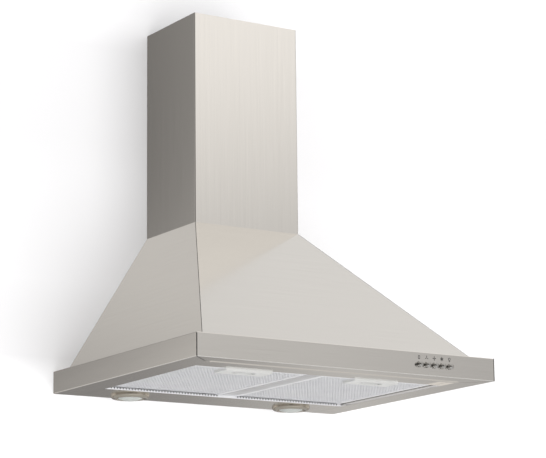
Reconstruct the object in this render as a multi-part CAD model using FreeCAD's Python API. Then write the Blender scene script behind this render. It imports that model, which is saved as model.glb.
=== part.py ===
import FreeCAD
import Part
import math
import os

os.makedirs("parts", exist_ok=True)

# Overall sizes of the hood, in millimetres
hood_width = 600.0
hood_depth = 500.0
band_height = 40.0
canopy_height = 260.0
canopy_ledge = 26.0
chimney_width = 220.0
chimney_depth = 175.0
chimney_height = 390.0

# Height of the hanging keyholes above the bottom edge, which is the origin
hang_height = 225.0

# Sheet metal
sheet = 1.0
flange = 40.0
side_flange = 50.0
neck_flange = 12.0
fold_radius = 1.2
chimney_fold = 2.0
corner_seam = 1.8
ridge_seam = 1.0
ridge_overrun = 0.1
recess = 4.0
strap = 1.2

# Fits
seat_gap = 0.3
slide_gap = 0.4
pin_gap = 0.05
margin = 5.0

# Wall fixings
hang_spacing = 200.0
hang_hole = 6.0
hang_slot = 3.5
hang_slot_length = 14.0
lock_drop = 105.0
lock_hole = 3.5

# Telescopic chimney
chimney_return = 12.0
louvre_count = 6
louvre_length = 70.0
louvre_height = 5.0
louvre_pitch = 14.0
louvre_from_top = 45.0
bracket_height = 40.0
bracket_from_top = 12.0
bracket_reach = 38.0
bracket_hole = 3.0
bracket_hole_spacing = 120.0

# Underside
lamp_panel_depth = 100.0
front_panel_depth = 70.0
bay_lap = 3.0
rail_lip = 14.0
rail_height = 15.0
rail_width = 26.0
rail_gap = 1.0
lamp_panel_upstand = 20.0
drain_hole = 0.95
drain_height = 2.85
drain_pitch = 6.0

# Grease filters
filter_thickness = 9.0
filter_rim = 9.0
filter_groove = 3.0
filter_round = 1.5
filter_tuck = 17.0
filter_side_gap = 4.0
filter_front_gap = 1.2
mesh_thickness = 6.0
mesh_sheet = 0.7
handle_width = 92.0
handle_depth = 40.0
handle_plate = 3.4
handle_inset = 1.0
handle_wall = 1.2
handle_height = 8.4
handle_round = 2.0
pull_width = 46.0
pull_height = 20.0
pull_from_front = 22.4
pull_lip = 3.0
pull_lip_round = 1.2
latch_stroke = 5.0
latch_lap = 3.5
latch_width = 32.0
latch_sheet = 1.6
latch_tongue = 2.6

# Lamps
lamp_from_side = 129.0
lamp_from_wall = 48.0
lamp_hole = 29.0
bezel_radius = 35.5
bezel_bead = 6.8
lens_drop = 10.6
lens_dome = 4.6
lens_thickness = 2.4
cup_height = 30.0
cup_flange = 3.5
socket_radius = 9.0
socket_height = 16.0
bulb_radius = 5.0
bulb_tip = 4.5
bulb_length = 15.0
bulb_pin = 0.5

# Control buttons
button_count = 5
button_pitch = 16.0
button_radius = 4.6
button_out = 9.0
button_dome = 2.4
button_stroke = 4.0
button_stem = 2.6
button_height = 18.5
controls_inset = 129.0
switch_height = 24.0
switch_depth = 34.0

# Blower
impeller_radius = 62.0
impeller_eye = 50.0
impeller_width = 92.0
impeller_disc = 3.0
blade_count = 34
blade_sheet = 1.2
blade_curve = 9.0
blade_bulge = 0.2
hub_radius = 11.0
hub_length = 15.0
shaft_radius = 4.0
scroll_start = 80.0
scroll_growth = 13.0
scroll_width = 120.0
scroll_wall = 2.0
scroll_flange = 8.5
blower_drop = 110.0
inlet_radius = 48.0
inlet_rim = 11.0
inlet_rim_height = 4.0
inlet_round = 2.8
motor_radius = 38.0
motor_round = 5.7
motor_length = 44.0
bearing_radius = 9.0
bearing_length = 8.0
spider_arms = 3
spider_width = 13.0
spider_hub = 19.5
guard_rings = 3
guard_bar = 2.4
screw_radius = 2.0
screw_head = 3.8
screw_crown = 2.4
screw_head_height = 2.6
screw_from_arc_end = 13.5

# Outlet collar and its backdraught flaps
duct_radius = 60.0
collar_wall = 1.5
collar_height = 70.0
collar_flange = 70.0
damper_height = 8.0
damper_ledge = 4.5
flap_sheet = 1.2
flap_gap = 1.5
hinge_pin = 1.5
knuckle_radius = 2.6
knuckle_near = 14.0
knuckle_far = 38.0

# Electrical pieces
capacitor_radius = 12.0
capacitor_length = 48.0
box_width = 78.0
box_height = 84.0
box_depth = 32.0
box_wall = 2.0
lid_round = 1.6
box_from_centre = 150.0
box_bottom = 60.0
transformer_width = 66.0
transformer_height = 48.0
transformer_depth = 34.0
gland_bore = 4.5
gland_radius = 8.0
gland_nut = 11.0
gland_height = 16.0

# Positions that follow from the sizes
half_width = hood_width / 2
front = -hood_depth
canopy_top = band_height + canopy_height
chimney_top = canopy_top + chimney_height
foot_x = half_width - canopy_ledge
foot_y = front + canopy_ledge
neck_x = chimney_width / 2
neck_y = -chimney_depth
side_slope = (foot_x - neck_x) / canopy_height
front_slope = (neck_y - foot_y) / canopy_height
back_face = -sheet
duct_y = -chimney_depth / 2
plate_top = canopy_top + strap
opening_x = half_width - side_flange
opening_front = front + flange
rear_rail_y = -lamp_panel_depth
panel_rear_y = opening_front + front_panel_depth
filter_bottom = recess + seat_gap
filter_front = panel_rear_y + filter_front_gap
filter_rear = rear_rail_y + filter_tuck
filter_inner = rail_width / 2 + rail_gap
filter_outer = opening_x - filter_side_gap
filter_x = (filter_inner + filter_outer) / 2
lamp_x = half_width - lamp_from_side
lamp_y = -lamp_from_wall
controls_x = half_width - controls_inset
scroll_mid = scroll_start + scroll_growth
scroll_end = scroll_mid + scroll_growth
blower_y = duct_y - scroll_end / 2
blower_z = canopy_top - blower_drop
along_x = FreeCAD.Vector(1, 0, 0)
along_y = FreeCAD.Vector(0, 1, 0)
along_z = FreeCAD.Vector(0, 0, 1)


def at(x, y, z):
    return FreeCAD.Vector(x, y, z)


def box(x0, x1, y0, y1, z0, z1):
    return Part.makeBox(x1 - x0, y1 - y0, z1 - z0, at(x0, y0, z0))


def rod(start, axis, radius, length):
    return Part.makeCylinder(radius, length, start, axis)


def tube(start, axis, outer, inner, length):
    return rod(start, axis, outer, length).cut(rod(start, axis, inner, length))


def prism(points, run):
    return Part.Face(Part.makePolygon(points + points[:1])).extrude(run)


def plan(points, z0, z1):
    return prism([at(x, y, z0) for x, y in points], at(0, 0, z1 - z0))


def rectangle(x0, x1, y0, y1, z):
    corners = [at(x0, y0, z), at(x1, y0, z), at(x1, y1, z), at(x0, y1, z)]
    return Part.makePolygon(corners + corners[:1])


def turned(profile, x, y):
    points = [at(radius, 0, z) for radius, z in profile]
    face = Part.Face(Part.makePolygon(points + points[:1]))
    ring = face.revolve(at(0, 0, 0), along_z, 360)
    return ring.translated(at(x, y, 0))


def obround(x, y, width, height, z0, z1):
    reach = (width - height) / 2
    ends = [rod(at(x + side * reach, y, z0), along_z, height / 2, z1 - z0) for side in (-1, 1)]
    middle = box(x - reach, x + reach, y - height / 2, y + height / 2, z0, z1)
    return middle.multiFuse(ends).removeSplitter()


def left_of(a, b):
    step = b - a
    return at(-step.y, step.x, 0).normalize()


def folded(path, thickness):
    # Outline of a bent sheet: the path, and the same path moved to its left
    points = [at(u, v, 0) for u, v in path]
    sides = [left_of(a, b) for a, b in zip(points, points[1:])]
    moved = []
    for i, point in enumerate(points):
        before = sides[max(i - 1, 0)]
        after = sides[min(i, len(sides) - 1)]
        lean = before + after
        moved.append(point + lean * (thickness / lean.dot(before)))
    return points + moved[::-1]


def folded_along_z(path, thickness, z0, z1):
    points = folded(path, thickness)
    return prism([at(p.x, p.y, z0) for p in points], at(0, 0, z1 - z0))


def folded_along_x(path, thickness, x0, x1):
    points = folded(path, thickness)
    return prism([at(x0, p.x, p.y) for p in points], at(x1 - x0, 0, 0))


def folded_along_y(path, thickness, y0, y1):
    points = folded(path, thickness)
    return prism([at(p.x, y0, p.y) for p in points], at(0, y1 - y0, 0))


def round_edges(shape, radius, wanted):
    edges = [edge for edge in shape.Edges if wanted(edge.BoundBox)]
    return shape.makeFillet(radius, edges)


def near(value, target):
    return abs(value - target) < 1e-4


def mirrored(shape):
    return shape.mirror(at(0, 0, 0), along_x)


def screw(head_seat, axis, length):
    head = Part.makeCone(screw_head, screw_crown, screw_head_height, head_seat, axis * -1)
    return head.fuse(rod(head_seat, axis, screw_radius, length)).removeSplitter()


def export(name, shape):
    placed = shape.translated(at(0, 0, -hang_height))
    placed.exportStep("parts/" + name + ".step")


# Folded canopy: a sloping pyramid, its ledge, the band and the bottom flange
side_skin = sheet * math.hypot(1, side_slope)
front_skin = sheet * math.hypot(1, front_slope)


def canopy_x(z):
    return foot_x - (z - band_height) * side_slope


def canopy_y(z):
    return foot_y + (z - band_height) * front_slope


def pyramid(z0, z1, side_inset, front_inset, rear):
    rings = []
    for z in (z0, z1):
        x = canopy_x(z) - side_inset
        rings.append(rectangle(-x, x, canopy_y(z) + front_inset, rear, z))
    return Part.makeLoft(rings, True, True)


band_block = box(-half_width, half_width, front, 0, 0, band_height)
canopy_block = band_block.fuse(pyramid(band_height, canopy_top, 0, 0, 0))
inside_x = half_width - sheet
band_hollow = box(-inside_x, inside_x, front + sheet, margin, sheet, band_height - sheet)
slope_hollow = pyramid(band_height - sheet, canopy_top - sheet, side_skin, front_skin, margin)
mouth = box(-opening_x, opening_x, opening_front, margin, -margin, band_height / 2)
neck_open_x = neck_x - neck_flange
neck_open = box(-neck_open_x, neck_open_x, neck_y + neck_flange, margin,
                canopy_top - margin, canopy_top + margin)
skin = canopy_block
for hollow in (band_hollow, slope_hollow, mouth, neck_open):
    skin = skin.cut(hollow)

# The seams run at 45 degrees across the band and along the ridges above it
mitre = max(flange, side_flange) + margin
ridge_run = at(foot_x - neck_x, foot_y - neck_y, 0)
ridge_out = at(foot_x, foot_y, 0) + ridge_run * ridge_overrun
ridge_in = at(neck_x, neck_y, 0) - ridge_run * ridge_overrun


def front_half(seam, outer, inner):
    return [(-outer[0] + seam, outer[1]), (outer[0] - seam, outer[1]),
            (inner[0] - seam, inner[1]), (-inner[0] + seam, inner[1])]


def left_half(outer, inner):
    return [(-outer[0], outer[1]), (-inner[0], inner[1]), (-inner[0], margin), (-outer[0], margin)]


corner_out = (half_width + margin, front - margin)
corner_in = (half_width - mitre, front + mitre)
slope_out = (ridge_out.x, ridge_out.y)
slope_in = (ridge_in.x, ridge_in.y)
front_low = plan(front_half(corner_seam, corner_out, corner_in), -margin, band_height)
front_high = plan(front_half(ridge_seam, slope_out, slope_in), band_height, canopy_top + margin)
left_low = plan(left_half(corner_out, corner_in), -margin, band_height)
left_high = plan(left_half(slope_out, slope_in), band_height, canopy_top + margin)


def front_fold(bounds):
    flat = near(bounds.YMin, front) and near(bounds.YMax, front) and near(bounds.ZMin, bounds.ZMax)
    return flat and (near(bounds.ZMin, 0) or near(bounds.ZMin, band_height))


def left_fold(bounds):
    flat = near(bounds.XMin, -half_width) and near(bounds.XMax, -half_width) and near(bounds.ZMin, bounds.ZMax)
    return flat and (near(bounds.ZMin, 0) or near(bounds.ZMin, band_height))


front_panel = skin.common(front_low).fuse(skin.common(front_high)).removeSplitter()
front_panel = round_edges(front_panel, fold_radius, front_fold)
left_panel = skin.common(left_low).fuse(skin.common(left_high)).removeSplitter()
left_panel = round_edges(left_panel, fold_radius, left_fold)

button_xs = [controls_x + (i - (button_count - 1) / 2) * button_pitch for i in range(button_count)]
for x in button_xs:
    hole = rod(at(x, front - margin, button_height), along_y, button_radius + slide_gap, 2 * margin)
    front_panel = front_panel.cut(hole)

export("front_panel", front_panel)
export("left_panel", left_panel)
export("right_panel", mirrored(left_panel))

# Angle pieces that hold the band corners together from inside
corner_leg = band_height / 2
corner_path = [(-inside_x, front + sheet + corner_leg), (-inside_x, front + sheet),
               (-inside_x + corner_leg, front + sheet)]
corner_angle = folded_along_z(corner_path, strap, 2 * sheet, band_height - 2 * sheet)
export("corner_angles", Part.makeCompound([corner_angle, mirrored(corner_angle)]))

# Back panel with two keyholes to hang it by and two holes to lock it
back_top = canopy_top - sheet - seat_gap
back_low = band_height - sheet - seat_gap


def back_x(z):
    return canopy_x(z) - side_skin - seat_gap


back_half = [(inside_x - seat_gap, sheet), (inside_x - seat_gap, back_low),
             (back_x(back_low), back_low), (back_x(back_top), back_top)]
back_outline = back_half + [(-x, z) for x, z in back_half[::-1]]
back_panel = prism([at(x, back_face, z) for x, z in back_outline], at(0, sheet, 0))
for side in (-1, 1):
    x = side * hang_spacing / 2
    entry = at(x, -margin, hang_height)
    rise = at(0, 0, hang_slot_length)
    back_panel = back_panel.cut(rod(entry, along_y, hang_hole, 2 * margin))
    back_panel = back_panel.cut(rod(entry + rise, along_y, hang_slot, 2 * margin))
    slot = box(x - hang_slot, x + hang_slot, -margin, margin, hang_height, hang_height + hang_slot_length)
    back_panel = back_panel.cut(slot)
    back_panel = back_panel.cut(rod(entry - at(0, 0, lock_drop), along_y, lock_hole, 2 * margin))
export("back_panel", back_panel)

# Plate across the neck that carries the blower and the outlet collar
plate_x = neck_x - 3 * sheet
plate_y = neck_y + 3 * sheet
plate_rear = 3 * sheet + slide_gap
gland_x = -(collar_flange + gland_nut + sheet)
gland_y = duct_y + collar_flange / 2
collar_screw = collar_flange - 2 * screw_head
top_plate = box(-plate_x, plate_x, plate_y, -plate_rear, canopy_top, plate_top)
top_plate = top_plate.cut(rod(at(0, duct_y, canopy_top), along_z, duct_radius - collar_wall, strap))
top_plate = top_plate.cut(rod(at(gland_x, gland_y, canopy_top), along_z, gland_radius, strap))
collar_corners = [(sx * collar_screw, duct_y + sy * collar_screw) for sx in (-1, 1) for sy in (-1, 1)]
for x, y in collar_corners:
    top_plate = top_plate.cut(rod(at(x, y, canopy_top), along_z, screw_radius, strap))

export("top_plate", top_plate)


# Outer and inner chimney covers, open at the top and along the wall
def chimney_sleeve(inset, back, z0, z1):
    x = neck_x - inset
    path = [(-x + chimney_return, back), (-x, back), (-x, neck_y + inset),
            (x, neck_y + inset), (x, back), (x - chimney_return, back)]
    sleeve = folded_along_z(path, sheet, z0, z1)

    def outer_corner(bounds):
        upright = near(bounds.XMin, bounds.XMax) and near(bounds.YMin, bounds.YMax)
        return upright and near(abs(bounds.XMin), x) and near(bounds.YMin, neck_y + inset)

    return round_edges(sleeve, chimney_fold, outer_corner)


inner_inset = sheet + slide_gap
inner_low = canopy_top + seat_gap
chimney_cover = chimney_sleeve(0, 0, canopy_top, chimney_top)
chimney_upper = chimney_sleeve(inner_inset, -inner_inset, inner_low, chimney_top - seat_gap)
for i in range(louvre_count):
    z = chimney_top - louvre_from_top - bracket_height - i * louvre_pitch
    y0 = duct_y - louvre_length / 2
    slot = box(-neck_x, neck_x, y0, y0 + louvre_length, z - louvre_height, z)
    chimney_upper = chimney_upper.cut(slot)
export("chimney_cover", chimney_cover)
export("chimney_upper", chimney_upper)

# Wall bracket inside the top of the inner chimney cover
tab_x = neck_x - inner_inset - sheet
bracket_x = neck_x - chimney_return - 4 * sheet
bracket_step = -(inner_inset + 3 * sheet)
bracket_top = chimney_top - bracket_from_top
bracket_half = [(bracket_x, 0), (bracket_x, bracket_step), (tab_x, bracket_step), (tab_x, -bracket_reach)]
bracket_path = [(-x, y) for x, y in bracket_half[::-1]] + bracket_half
wall_bracket = folded_along_z(bracket_path, -strap, bracket_top - bracket_height, bracket_top)
bracket_mid = bracket_top - bracket_height / 2
for side in (-1, 1):
    x = side * bracket_hole_spacing / 2
    wall_bracket = wall_bracket.cut(rod(at(x, -margin, bracket_mid), along_y, bracket_hole, 2 * margin))
export("wall_bracket", wall_bracket)

# Underside: a joggled closing panel under the front flange, four rails and the lamp panel
catch_top = recess + sheet
joggle_y = opening_front + bay_lap
closing_x = opening_x - seat_gap
closing_path = [(opening_front - bay_lap, -sheet), (joggle_y, -sheet), (joggle_y, recess),
                (panel_rear_y, recess)]
export("closing_panel", folded_along_x(closing_path, sheet, -closing_x, closing_x))

rail_path = [(-opening_x - rail_lip, sheet), (-opening_x, sheet), (-opening_x, recess + rail_height)]
left_rail = folded_along_y(rail_path, sheet, opening_front + seat_gap, rear_rail_y - sheet - seat_gap)
export("left_rail", left_rail)
export("right_rail", mirrored(left_rail))

rail_x = rail_width / 2
rail_top = recess + rail_height
centre_path = [(-rail_x, rail_top), (-rail_x, recess), (rail_x, recess), (rail_x, rail_top)]
centre_rail = folded_along_y(centre_path, sheet, panel_rear_y, filter_rear)
centre_tab = box(-rail_x + sheet, rail_x - sheet, panel_rear_y - rail_lip, panel_rear_y + rail_lip,
                 catch_top, catch_top + sheet)
centre_rail = centre_rail.fuse(centre_tab).removeSplitter()
export("centre_rail", centre_rail)

rear_rail = box(-closing_x, closing_x, rear_rail_y - sheet, rear_rail_y, 0, recess)
drain_span = filter_outer - filter_inner - filter_rim
drain_count = int(drain_span / drain_pitch)
drains = []
for side in (-1, 1):
    for i in range(drain_count):
        x = side * filter_x + (i - (drain_count - 1) / 2) * drain_pitch
        drains.append(rod(at(x, rear_rail_y - sheet, drain_height), along_y, drain_hole, sheet))
rear_lip = box(-closing_x, closing_x, rear_rail_y, rear_rail_y + rail_lip, sheet, 2 * sheet)
export("rear_rail", rear_rail.cut(Part.makeCompound(drains)).fuse(rear_lip).removeSplitter())

lamp_path = [(rear_rail_y, 0), (back_face, 0), (back_face, lamp_panel_upstand)]
lamp_panel = folded_along_x(lamp_path, sheet, -opening_x + slide_gap, opening_x - slide_gap)
for side in (-1, 1):
    lamp_panel = lamp_panel.cut(rod(at(side * lamp_x, lamp_y, 0), along_z, lamp_hole, sheet))
export("lamp_panel", lamp_panel)

# Lamps: a chrome bead, a domed glass, a reflector cup, a holder and a capsule bulb
barrel = lamp_hole - seat_gap
barrel_bore = barrel - sheet
barrel_top = 2 * sheet + seat_gap
cup_radius = lamp_hole + sheet
cup_profile = [
    (cup_radius + cup_flange, sheet), (cup_radius + cup_flange, 2 * sheet), (cup_radius + sheet, 2 * sheet),
    (socket_radius + 4 * sheet, cup_height), (socket_radius, cup_height), (socket_radius, cup_height - sheet),
    (socket_radius + 3 * sheet, cup_height - sheet), (cup_radius, 2 * sheet), (cup_radius, sheet)]
lens_rim = bezel_radius - 2 * bezel_bead - seat_gap
lens_bend = (lens_rim * lens_rim + lens_dome * lens_dome) / (2 * lens_dome)
socket_low = cup_height - socket_height / 2
bulb_low = socket_low - bulb_length


def bezel_shape(x):
    bead = Part.makeTorus(bezel_radius - bezel_bead, bezel_bead, at(0, 0, 0), along_z)
    lower = rod(at(0, 0, -bezel_bead), along_z, bezel_radius + margin, bezel_bead)
    bezel = bead.common(lower).fuse(tube(at(0, 0, 0), along_z, barrel, barrel_bore, barrel_top))
    return bezel.removeSplitter().translated(at(x, lamp_y, 0))


def lens_shape(x):
    apex = at(0, 0, -lens_drop)
    centre = at(0, 0, lens_bend - lens_drop)
    glass = rod(apex, along_z, lens_rim, lens_drop - seat_gap).common(Part.makeSphere(lens_bend, centre))
    inside = rod(apex, along_z, lens_rim - lens_thickness, lens_drop)
    glass = glass.cut(inside.common(Part.makeSphere(lens_bend - lens_thickness, centre)))
    return glass.translated(at(x, lamp_y, 0))


def bulb_pins():
    starts = [at(side * bulb_radius / 2, 0, socket_low) for side in (-1, 1)]
    return [rod(start, along_z, bulb_pin, socket_height / 2) for start in starts]


def bulb_shape(x):
    capsule = rod(at(0, 0, bulb_low), along_z, bulb_radius, bulb_length)
    tip = [edge for edge in capsule.Edges if edge.Closed and near(edge.CenterOfMass.z, bulb_low)]
    capsule = capsule.makeFillet(bulb_tip, tip)
    return capsule.multiFuse(bulb_pins()).translated(at(x, lamp_y, 0))


def socket_shape(x):
    holder = rod(at(0, 0, socket_low), along_z, socket_radius, socket_height)
    return holder.cut(Part.makeCompound(bulb_pins())).translated(at(x, lamp_y, 0))


for name, side in (("left", -1), ("right", 1)):
    x = side * lamp_x
    export("lamp_bezel_" + name, bezel_shape(x))
    export("lamp_cup_" + name, turned(cup_profile, x, lamp_y))
    export("lamp_lens_" + name, lens_shape(x))
    export("lamp_bulb_" + name, bulb_shape(x))
    export("lamp_socket_" + name, socket_shape(x))

# Grease filters: a rimmed frame, a mesh pad, and a handle plate with a spring latch
window_front = filter_front + filter_rim
handle_rear = filter_front + handle_depth
tongue_low = catch_top + seat_gap
pull_y = filter_front + pull_from_front
lip_y = pull_y + pull_height / 2 - latch_stroke - pull_lip - sheet
cover_low = filter_bottom + handle_height - handle_wall - latch_sheet - seat_gap
filter_half = (filter_outer - filter_inner) / 2
filter_top = filter_bottom + filter_thickness
mesh_low = filter_bottom + (filter_thickness - mesh_thickness) / 2
housing_front = window_front + seat_gap


def filter_frame(x):
    x0 = x - filter_half
    x1 = x + filter_half
    frame = box(x0, x1, filter_front, filter_rear, filter_bottom, filter_top)
    frame = frame.cut(box(x0 + filter_rim, x1 - filter_rim, window_front, filter_rear - filter_rim,
                          filter_bottom, filter_top))
    back = filter_rim - filter_groove
    frame = frame.cut(box(x0 + back, x1 - back, filter_front + back, filter_rear - back,
                          mesh_low, mesh_low + mesh_thickness))
    reach = latch_width / 2 + slide_gap
    frame = frame.cut(box(x - reach, x + reach, filter_front, window_front,
                          tongue_low - seat_gap, tongue_low + latch_tongue + seat_gap))
    return round_edges(frame, filter_round, lambda b: near(b.ZMin, b.ZMax) and near(b.ZMin, filter_bottom) and (
        near(b.YMin, filter_rear) or near(b.XMax, x0) or near(b.XMin, x1)))


def filter_mesh(x):
    # Two sheets of expanded mesh, held apart in the groove of the frame
    back = filter_rim - filter_groove + pin_gap
    reach = handle_width / 2 + pin_gap
    gap = box(x - reach, x + reach, filter_front, handle_rear + pin_gap, mesh_low, filter_top)
    sheets = []
    for z in (mesh_low + pin_gap, mesh_low + mesh_thickness - mesh_sheet - pin_gap):
        whole = box(x - filter_half + back, x + filter_half - back, filter_front + back, filter_rear - back,
                    z, z + mesh_sheet)
        sheets.append(whole.cut(gap))
    return Part.makeCompound(sheets)


def handle_shape(x):
    reach = handle_width / 2
    plate_low = filter_bottom - handle_plate
    plate = box(x - reach, x + reach, filter_front + handle_inset, handle_rear, plate_low, filter_bottom)
    shell = box(x - reach, x + reach, housing_front, handle_rear, filter_bottom, filter_bottom + handle_height)
    hollow = box(x - reach + handle_wall, x + reach - handle_wall, housing_front + handle_wall,
                 handle_rear - handle_wall, filter_bottom, filter_bottom + handle_height - handle_wall)
    slide = latch_width / 2 + slide_gap
    gate = box(x - slide, x + slide, housing_front, housing_front + handle_wall,
               filter_bottom, filter_bottom + handle_height - handle_wall)
    handle = plate.fuse(shell).cut(hollow).cut(gate).removeSplitter()
    handle = round_edges(handle, handle_round, lambda b: near(b.XMin, b.XMax) and near(b.YMin, b.YMax) and (
        near(b.YMin, filter_front + handle_inset) and near(b.ZLength, handle_plate)))
    return handle.cut(obround(x, pull_y, pull_width, pull_height, plate_low - sheet, filter_bottom + sheet))


def latch_shape(x):
    reach = latch_width / 2
    nose = panel_rear_y - latch_lap
    web = housing_front + handle_wall + sheet
    tongue = box(x - reach, x + reach, nose, web, tongue_low, tongue_low + latch_tongue)
    rise = box(x - reach, x + reach, web - latch_sheet, web, tongue_low, cover_low + latch_sheet)
    cover = box(x - reach, x + reach, web - latch_sheet, lip_y + pull_lip, cover_low, cover_low + latch_sheet)
    lip_low = filter_bottom - handle_plate
    lip = box(x - reach, x + reach, lip_y, lip_y + pull_lip, lip_low, cover_low + latch_sheet)
    latch = tongue.multiFuse([rise, cover, lip]).removeSplitter()
    return round_edges(latch, pull_lip_round, lambda b: near(b.ZMin, lip_low) and near(
        b.ZMax, b.ZMin) and near(b.YMin, b.YMax))


for name, side in (("left", -1), ("right", 1)):
    x = side * filter_x
    export("filter_frame_" + name, filter_frame(x))
    export("filter_mesh_" + name, filter_mesh(x))
    export("filter_handle_" + name, handle_shape(x))
    export("filter_latch_" + name, latch_shape(x))

# Control buttons and the switch block behind the band
switch_front = front + sheet
button_tail = switch_front + switch_depth - 2 * button_stroke
cap_tail = switch_front + 2 * button_stroke
dome_bend = (button_radius * button_radius + button_dome * button_dome) / (2 * button_dome)
switch_half = button_count * button_pitch / 2 + sheet
switch_low = button_height - switch_height / 2
switch_block = box(controls_x - switch_half, controls_x + switch_half, switch_front, switch_front + switch_depth,
                   switch_low, switch_low + switch_height)
switch_block = round_edges(switch_block, 2 * sheet, lambda b: near(b.YLength, switch_depth))
for i, x in enumerate(button_xs):
    bore = rod(at(x, switch_front, button_height), along_y, button_radius + slide_gap,
               cap_tail + button_stroke + sheet - switch_front)
    stem_bore = rod(at(x, switch_front, button_height), along_y, button_stem + slide_gap,
                    switch_depth - 2 * sheet)
    switch_block = switch_block.cut(bore).cut(stem_bore)
    tip = at(x, front - button_out, button_height)
    dome = rod(tip, along_y, button_radius, button_dome)
    dome = dome.common(Part.makeSphere(dome_bend, tip + along_y * dome_bend))
    cap = rod(tip + along_y * button_dome, along_y, button_radius, cap_tail - front + button_out - button_dome)
    stem = rod(at(x, cap_tail, button_height), along_y, button_stem, button_tail - cap_tail)
    export("button_" + str(i + 1), cap.multiFuse([dome, stem]).removeSplitter())
export("switch_block", switch_block)


# Scroll casing of the blower, drawn as three arcs of growing radius
scroll_low = at(0, blower_y - scroll_growth / 2, blower_z - scroll_growth / 2)
scroll_far = scroll_low + at(0, scroll_growth, 0)
scroll_high = scroll_far + at(0, 0, scroll_growth)
scroll_arcs = [(scroll_low, scroll_start, 90), (scroll_far, scroll_mid, 180), (scroll_high, scroll_end, 270)]


def on_arc(centre, radius, degrees):
    angle = math.radians(degrees)
    return centre + at(0, radius * math.cos(angle), radius * math.sin(angle))


def scroll_face(grow, top):
    first = scroll_start + grow
    tongue = scroll_low + at(0, -grow, math.sqrt(first * first - grow * grow))
    lean = math.degrees(math.asin(grow / first))
    corners = [at(0, tongue.y, top), tongue]
    edges = [Part.makeLine(corners[0], corners[1])]
    start = tongue
    for centre, radius, begin in scroll_arcs:
        reach = radius + grow
        opening = begin + lean if begin == 90 else begin
        middle = on_arc(centre, reach, (opening + begin + 90) / 2)
        end = on_arc(centre, reach, begin + 90)
        edges.append(Part.Arc(start, middle, end).toShape())
        start = end
    roof = at(0, start.y, top)
    edges.append(Part.makeLine(start, roof))
    edges.append(Part.makeLine(roof, corners[0]))
    return Part.Face(Part.Wire(edges))


def scroll_prism(grow, top, x0, x1):
    return scroll_face(grow, top).translated(at(x0, 0, 0)).extrude(at(x1 - x0, 0, 0))


blower_axis = at(0, blower_y, blower_z)
scroll_half = scroll_width / 2
rim_face = scroll_half + inlet_rim_height
rim_radius = inlet_radius + inlet_rim
volute = scroll_prism(0, canopy_top, -scroll_half, 0)
volute = volute.fuse(scroll_prism(scroll_flange, canopy_top, -scroll_wall, 0)).removeSplitter()
volute = volute.cut(scroll_prism(-scroll_wall, canopy_top + margin, -scroll_half + scroll_wall, margin))
inlet_ring = tube(blower_axis - along_x * rim_face, along_x, rim_radius, inlet_radius, inlet_rim_height)
volute = volute.fuse(inlet_ring).removeSplitter()
inlet_length = inlet_rim_height + 2 * scroll_wall
volute = volute.cut(rod(blower_axis - along_x * rim_face, along_x, inlet_radius, inlet_length))
volute = round_edges(volute, inlet_round, lambda b: near(b.XMin, -rim_face) and near(
    b.XMax, -rim_face) and near(b.ZLength, 2 * inlet_radius))
flange_points = []
for centre, radius, begin in scroll_arcs:
    for degrees in (begin + screw_from_arc_end, begin + 90 - screw_from_arc_end):
        flange_points.append(on_arc(centre, radius + scroll_flange / 2, degrees))
for point in flange_points:
    volute = volute.cut(rod(point - along_x * scroll_wall, along_x, screw_radius, 2 * scroll_wall))
spider_radius = inlet_radius + inlet_rim / 2
spider_points = [on_arc(blower_axis, spider_radius, 90 + i * 360 / spider_arms) for i in range(spider_arms)]
for point in spider_points:
    volute = volute.cut(rod(point - along_x * rim_face, along_x, screw_radius, inlet_rim_height))
export("volute_left", volute)
export("volute_right", mirrored(volute))

# Motor inside the impeller, carried by a three-armed spider across the left inlet
motor_nose = -(impeller_disc / 2 + 2 * strap)
motor_tail = motor_nose - motor_length
spider_x = -rim_face
motor = rod(blower_axis + along_x * motor_tail, along_x, motor_radius, motor_length)
motor = round_edges(motor, motor_round, lambda b: near(b.XMin, b.XMax))
boss = rod(blower_axis + along_x * spider_x, along_x, spider_width, motor_tail - spider_x)
motor = motor.fuse(boss).removeSplitter()
shaft_tail = motor_tail + strap
motor = motor.cut(rod(blower_axis + along_x * shaft_tail, along_x, shaft_radius + strap, motor_length))
bearings = []
for x in (shaft_tail, motor_nose - bearing_length):
    start = blower_axis + along_x * x
    motor = motor.cut(rod(start, along_x, bearing_radius + pin_gap, bearing_length))
    bearings.append(tube(start, along_x, bearing_radius, shaft_radius + pin_gap, bearing_length))
export("motor", motor)
export("motor_bearings", Part.makeCompound(bearings))

spider_sheet = 2 * strap
spider_face = spider_x - spider_sheet
spider = rod(blower_axis + along_x * spider_face, along_x, spider_hub, spider_sheet)
for point in spider_points:
    arm_end = point + (point - blower_axis).normalize() * (inlet_rim / 2)
    aside = (point - blower_axis).cross(along_x).normalize() * (spider_width / 2)
    corners = [blower_axis + aside, arm_end + aside, arm_end - aside, blower_axis - aside]
    arm = prism([p + along_x * spider_face for p in corners], along_x * spider_sheet)
    spider = spider.fuse(arm)
spider = spider.removeSplitter()
for point in spider_points:
    spider = spider.cut(rod(point + along_x * spider_face, along_x, screw_radius, spider_sheet))
export("motor_spider", spider)

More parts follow.
